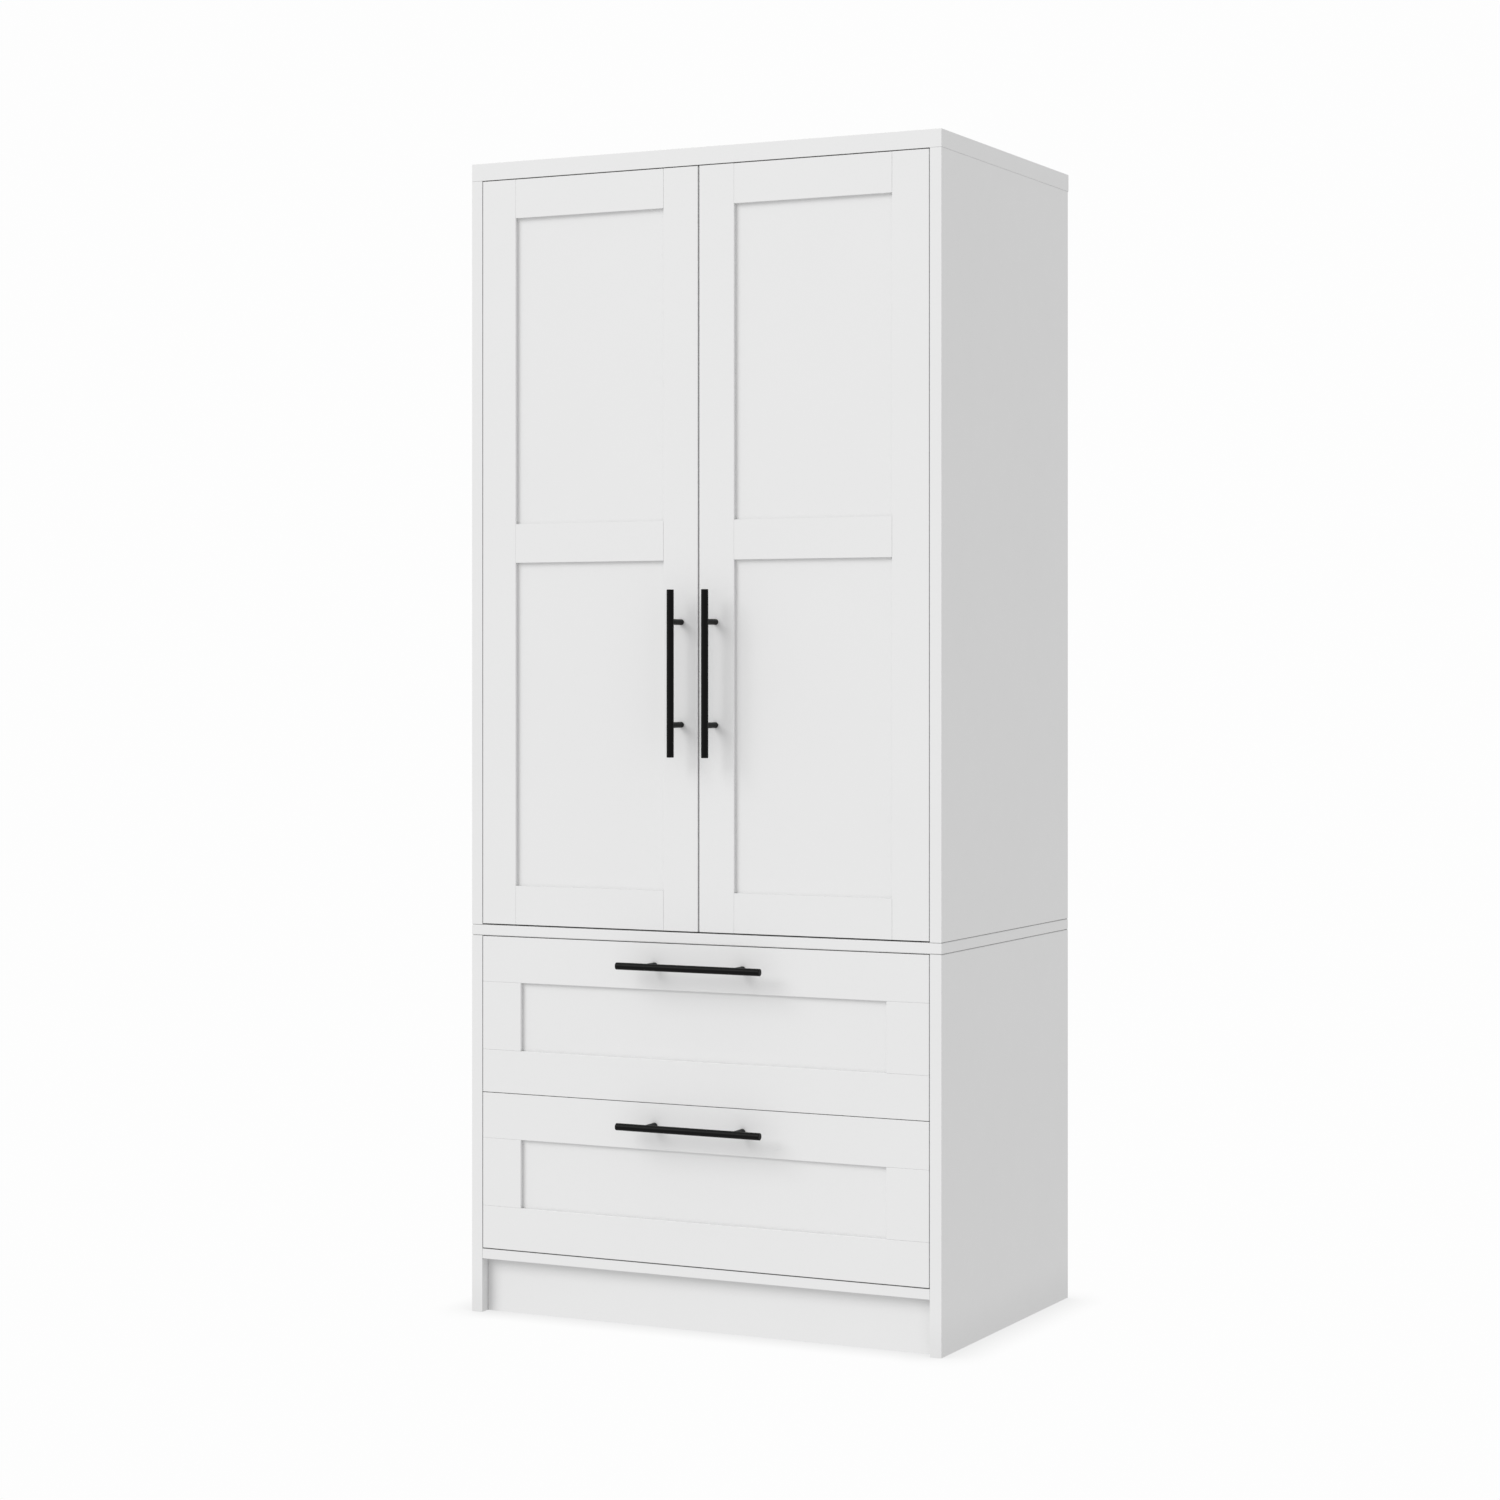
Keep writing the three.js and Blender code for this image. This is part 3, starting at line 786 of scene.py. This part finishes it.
def build_hinge_arm(word, sign, place):
    """The arm on its mounting plate, screwed to the side board's inner face."""
    node = f"{word}_hinge_arm_{place}"
    side_x = outer_face(node, sign)
    front_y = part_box("upper_side_left")[0].y
    level = centre_of(node).z

    mesh_data = bmesh.new()
    outline = arm_outline(sign, side_x, front_y, level - ARM_WIDTH / 2)
    add_prism(mesh_data, outline, Z_AXIS * ARM_WIDTH, ARM_EDGE)
    arm = finish_piece(mesh_data, f"{node}_body", "carcass", "zinc_steel")
    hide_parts(node)

    plate_y = front_y + PLATE_BACK
    near_x = side_x - sign * PLATE_THICKNESS
    plate = bmesh.new()
    start = (min(side_x, near_x), plate_y - PLATE_WIDTH / 2, level - PLATE_REACH)
    end = (max(side_x, near_x), plate_y + PLATE_WIDTH / 2, level + PLATE_REACH)
    add_box(plate, start, end, PLATE_EDGE)
    finish_piece(plate, f"{node}_plate", "carcass", "zinc_steel")

    screws = bmesh.new()
    inward = -X_AXIS * sign
    for up in (-1, 1):
        add_screw(screws, (near_x, plate_y, level + up * PLATE_SCREW_REACH), inward)
    top_x = side_x - sign * ARM_TOP
    for back in ARM_SCREW_BACKS:
        place = (top_x, front_y + back, level)
        add_screw(screws, place, inward, ARM_SCREW_RADIUS, ARM_SCREW_HEIGHT)
    finish_piece(screws, f"{node}_screws", "carcass", "zinc_steel")


def flat_bar_outline(half_width, half_height):
    """The rounded section of a flat bar, as a radius for each angle."""
    def radius_at(angle):
        across = abs(math.cos(angle)) / half_width
        up = abs(math.sin(angle)) / half_height
        return (across ** 6 + up ** 6) ** (-1 / 6)
    return radius_at


def build_hinge_link(word, sign, place):
    """The crank between the arm's nose and the cup, tied to no body."""
    side_x = outer_face(f"{word}_hinge_arm_{place}", sign)
    front_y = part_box("upper_side_left")[0].y
    face_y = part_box(f"{word}_door_panel")[1].y
    cup = centre_of(f"{word}_hinge_cup_{place}")
    nose = Vector((side_x - sign * LINK_NOSE_ACROSS, front_y + LINK_NOSE_BACK, cup.z))
    pin = Vector((cup.x, face_y - PIN_DEPTH, cup.z))

    length = (pin - nose).length
    section = flat_bar_outline(LINK_HALF_WIDTH, LINK_HALF_HEIGHT)
    profile = [(0, 0)]
    profile += [(section, length * step / LINK_STEPS) for step in range(LINK_STEPS + 1)]
    profile.append((0, length))
    mesh_data = bmesh.new()
    add_lathe(mesh_data, nose, pin - nose, profile, segments=32)
    link = finish_piece(mesh_data, f"{word}_hinge_link_{place}", None, "zinc_steel")
    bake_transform(link)


# ================================================================== clothes rod
def build_clothes_rod():
    """The round rod, and the screws that hold its two sockets to the side boards."""
    low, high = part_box("clothes_rod")
    radius = (high.z - low.z) / 2
    centre = (low + high) / 2
    length = high.x - low.x
    profile = [
        (0, 0),
        (radius - ROD_EDGE, 0),
        (radius - ROD_EDGE * 0.3, ROD_EDGE * 0.3),
        (radius, ROD_EDGE),
        (radius, length - ROD_EDGE),
        (radius - ROD_EDGE * 0.3, length - ROD_EDGE * 0.3),
        (radius - ROD_EDGE, length),
        (0, length),
    ]
    mesh_data = bmesh.new()
    add_lathe(mesh_data, (low.x, centre.y, centre.z), X_AXIS, profile, segments=64)
    rod = finish_piece(mesh_data, "clothes_rod_tube", "carcass", "chromed_steel")
    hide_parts("clothes_rod")

    screws = bmesh.new()
    for word, sign in SIDES:
        start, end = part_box(f"rod_socket_{word}")
        level = (start.z + end.z) / 2
        face_x = inner_face(f"upper_side_{word}", sign) - sign * SOCKET_DEPTH
        for along in (-1, 1):
            place = (face_x, centre.y + along * SOCKET_SCREW_REACH, level)
            add_screw(screws, place, -X_AXIS * sign, SOCKET_SCREW_RADIUS, SOCKET_SCREW_HEIGHT)
    finish_piece(screws, "rod_socket_screws", "carcass", "zinc_steel")


# ================================================================== drawer slides
def runner_outline(runner, sign):
    """The runner seen from its end: a channel that opens towards the side board, with two lips."""
    low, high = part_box(runner)
    outer_x = outer_face(runner, sign)
    inner_x = inner_face(runner, sign)
    wall = sign * SLIDE_WALL
    points = [
        (inner_x, low.z),
        (inner_x, high.z),
        (outer_x, high.z),
        (outer_x, high.z - SLIDE_LIP),
        (outer_x - wall, high.z - SLIDE_LIP),
        (outer_x - wall, high.z - SLIDE_WALL),
        (inner_x + wall, high.z - SLIDE_WALL),
        (inner_x + wall, low.z + SLIDE_WALL),
        (outer_x - wall, low.z + SLIDE_WALL),
        (outer_x - wall, low.z + SLIDE_LIP),
        (outer_x, low.z + SLIDE_LIP),
        (outer_x, low.z),
    ]
    return [Vector((x, low.y, z)) for x, z in points]


def build_slide(drawer, word, sign):
    """The drawer's rolled runner, its screws, and the screws of the channel that it runs in."""
    channel = f"{drawer}_slide_channel_{word}"
    runner = f"{drawer}_slide_runner_{word}"
    low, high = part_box(runner)
    length = high.y - low.y
    mesh_data = bmesh.new()
    add_prism(mesh_data, runner_outline(runner, sign), Y_AXIS * length, METAL_EDGE)
    rail = finish_piece(mesh_data, f"{runner}_rail", drawer, "zinc_steel")
    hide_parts(runner)

    drawer_screws = bmesh.new()
    side_screws = bmesh.new()
    outward = X_AXIS * sign
    runner_x = inner_face(runner, sign) + sign * SLIDE_WALL
    channel_x = outer_face(channel, sign) - sign * CHANNEL_WEB
    level = (low.z + high.z) / 2
    for share in SLIDE_SCREW_SHARES:
        y = low.y + share * length
        place = (runner_x, y, level)
        add_screw(drawer_screws, place, outward, RUNNER_SCREW_RADIUS, RUNNER_SCREW_HEIGHT)
        place = (channel_x, y + CHANNEL_SCREW_OFFSET, level)
        add_screw(side_screws, place, -outward, CHANNEL_SCREW_RADIUS, CHANNEL_SCREW_HEIGHT)
    finish_piece(drawer_screws, f"{runner}_screws", drawer, "zinc_steel")
    finish_piece(side_screws, f"{channel}_screws", "carcass", "zinc_steel")


# ================================================================== drawer boxes
def add_cam_cover(mesh_data, place, out):
    """A push-in cap over a cam fastener."""
    add_lathe(mesh_data, place, out, rounded_disc(CAM_RADIUS, CAM_HEIGHT, CAM_HEIGHT * 0.6))


def build_drawer_fasteners(drawer):
    """Screws through the sides into the back, and caps over the cams that hold the front."""
    back_low, back_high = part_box(f"{drawer}_back")
    screw_y = (back_low.y + back_high.y) / 2
    screws = bmesh.new()
    caps = bmesh.new()
    for word, sign in SIDES:
        side = f"{drawer}_side_{word}"
        low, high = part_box(side)
        outward = X_AXIS * sign
        for share in BOX_FASTENER_SHARES:
            level = low.z + share * (high.z - low.z)
            screw_place = (outer_face(side, sign), screw_y, level)
            add_screw(screws, screw_place, outward, BOX_SCREW_RADIUS, BOX_SCREW_HEIGHT)
            add_cam_cover(caps, (inner_face(side, sign), low.y + CAM_INSET, level), -outward)
    finish_piece(screws, f"{drawer}_box_screws", drawer, "zinc_steel")
    finish_piece(caps, f"{drawer}_cam_covers", drawer, "painted_board", WHITE_PLASTIC)


# ================================================================== back and small fasteners
def spaced(start, end, spacing):
    """Evenly spaced values from start to end, both included, about spacing apart."""
    count = max(1, round((end - start) / spacing))
    return [start + (end - start) * step / count for step in range(count + 1)]


def build_back_sheets():
    """Two hardboard sheets that meet, a hair apart, behind the middle board."""
    low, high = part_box("back_panel")
    start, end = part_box("middle_panel")
    seam = (start.z + end.z) / 2
    rear_y = high.y - NAIL_HEIGHT
    heights = {"lower": (low.z, seam - BACK_SEAM / 2), "upper": (seam + BACK_SEAM / 2, high.z)}
    for word, (bottom, top) in heights.items():
        mesh_data = bmesh.new()
        add_box(mesh_data, (low.x, low.y, bottom), (high.x, rear_y, top), SHEET_EDGE)
        sheet = finish_piece(mesh_data, f"back_sheet_{word}", "carcass", "white_hardboard")
        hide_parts("back_panel")


def build_back_nails():
    """Nails that hold the back sheets to the rear edges of the boards."""
    low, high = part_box("back_panel")
    edge_x = high.x - NAIL_SIDE_MARGIN
    levels = spaced(low.z + NAIL_FOOT_MARGIN, high.z - NAIL_HEAD_MARGIN, NAIL_SPACING)
    places = [(side * edge_x, level) for side in (-1, 1) for level in levels]

    start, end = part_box("middle_panel")
    rows = [start.z + NAIL_SEAM_MARGIN, end.z - NAIL_SEAM_MARGIN]
    start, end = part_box("bottom_panel")
    rows.append((start.z + end.z) / 2)
    row_end = edge_x - NAIL_SPACING / 2
    places += [(x, level) for level in rows for x in spaced(-row_end, row_end, NAIL_SPACING)]

    head = rounded_disc(NAIL_RADIUS, NAIL_HEIGHT, NAIL_HEIGHT * 0.7)
    mesh_data = bmesh.new()
    for x, level in places:
        add_lathe(mesh_data, (x, high.y - NAIL_HEIGHT, level), Y_AXIS, head, segments=14)
    finish_piece(mesh_data, "back_nails", "carcass", "zinc_steel")


def build_cam_covers():
    """Caps over the cams on the inner faces of the side boards, near the top and middle boards."""
    start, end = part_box("upper_side_left")
    middle_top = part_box("middle_panel")[1].z
    for word, sign in SIDES:
        inner_x = inner_face(f"upper_side_{word}", sign)
        mesh_data = bmesh.new()
        for y in (start.y + CAM_FRONT_MARGIN, end.y - CAM_REAR_MARGIN):
            for level in (end.z - CAM_INSET, middle_top + CAM_INSET):
                add_cam_cover(mesh_data, (inner_x, y, level), -X_AXIS * sign)
        finish_piece(mesh_data, f"cam_covers_{word}", "carcass", "painted_board", WHITE_PLASTIC)


# ================================================================== stage
def build_floor():
    """A floor that is only seen. The light it would throw back comes from the even studio light."""
    reach = FLOOR_REACH
    corners = [(-reach, -reach, 0), (reach, -reach, 0), (reach, reach, 0), (-reach, reach, 0)]
    mesh = bpy.data.meshes.new("floor")
    mesh.from_pydata(corners, [], [(0, 1, 2, 3)])
    mesh.materials.append(pale_floor())
    floor = bpy.data.objects.new("floor", mesh)
    bpy.context.scene.collection.objects.link(floor)
    floor.visible_diffuse = False
    floor.visible_glossy = False
    floor.visible_shadow = False


def build_world():
    """Even studio light from all round, behind a background that reads as white paper."""
    world = bpy.data.worlds.new("studio")
    world.use_nodes = True
    tree = world.node_tree
    tree.nodes.clear()
    path = tree.nodes.new("ShaderNodeLightPath")
    seen = tree.nodes.new("ShaderNodeBackground")
    seen.inputs["Strength"].default_value = BACKGROUND
    ambient = tree.nodes.new("ShaderNodeBackground")
    ambient.inputs["Strength"].default_value = AMBIENT
    mix = tree.nodes.new("ShaderNodeMixShader")
    output = tree.nodes.new("ShaderNodeOutputWorld")
    for background in (seen, ambient):
        background.inputs["Color"].default_value = (1, 1, 1, 1)
    tree.links.new(path.outputs["Is Camera Ray"], mix.inputs[0])
    tree.links.new(ambient.outputs["Background"], mix.inputs[1])
    tree.links.new(seen.outputs["Background"], mix.inputs[2])
    tree.links.new(mix.outputs["Shader"], output.inputs["Surface"])
    bpy.context.scene.world = world


def build_key_light():
    """One broad soft light from the upper left, in front of the cabinet."""
    light = bpy.data.lights.new("key", "SUN")
    light.energy = KEY_STRENGTH
    light.angle = KEY_SOFTNESS
    key = bpy.data.objects.new("key", light)
    bpy.context.scene.collection.objects.link(key)
    key.rotation_euler = KEY_DIRECTION.to_track_quat("-Z", "Y").to_euler()


def build_camera():
    """A level camera, placed from the foot of the near front corner."""
    low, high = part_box("lower_side_right")
    corner = Vector((high.x, low.y, 0))
    forward = Vector((-math.sin(CAMERA_YAW), math.cos(CAMERA_YAW), 0))
    right = Vector((math.cos(CAMERA_YAW), math.sin(CAMERA_YAW), 0))
    data = bpy.data.cameras.new("camera")
    data.sensor_width = CAMERA_SENSOR
    data.lens = CAMERA_LENS
    data.shift_y = CAMERA_RISE
    data.clip_end = 200
    camera = bpy.data.objects.new("camera", data)
    bpy.context.scene.collection.objects.link(camera)
    foot = corner - forward * CAMERA_DEPTH - right * CAMERA_OFFSET
    camera.location = foot + Z_AXIS * CAMERA_HEIGHT
    camera.rotation_euler = (math.pi / 2, 0, CAMERA_YAW)
    bpy.context.scene.camera = camera


# ================================================================== the whole
dress_boards()
build_jointed_boards()
for drawer_name in DRAWERS:
    build_drawer_frame(drawer_name)
    build_drawer_fasteners(drawer_name)
    for side_word, side_sign in SIDES:
        build_slide(drawer_name, side_word, side_sign)
for handle_body in ("left_door", "right_door", *DRAWERS):
    build_handle(handle_body)
for side_word, side_sign in SIDES:
    for hinge_place in PLACES:
        build_hinge_cup(side_word, hinge_place)
        build_hinge_arm(side_word, side_sign, hinge_place)
        build_hinge_link(side_word, side_sign, hinge_place)
build_clothes_rod()
build_back_sheets()
build_back_nails()
build_cam_covers()

build_floor()
build_world()
build_key_light()
build_camera()
bpy.context.scene.view_settings.view_transform = "Standard"
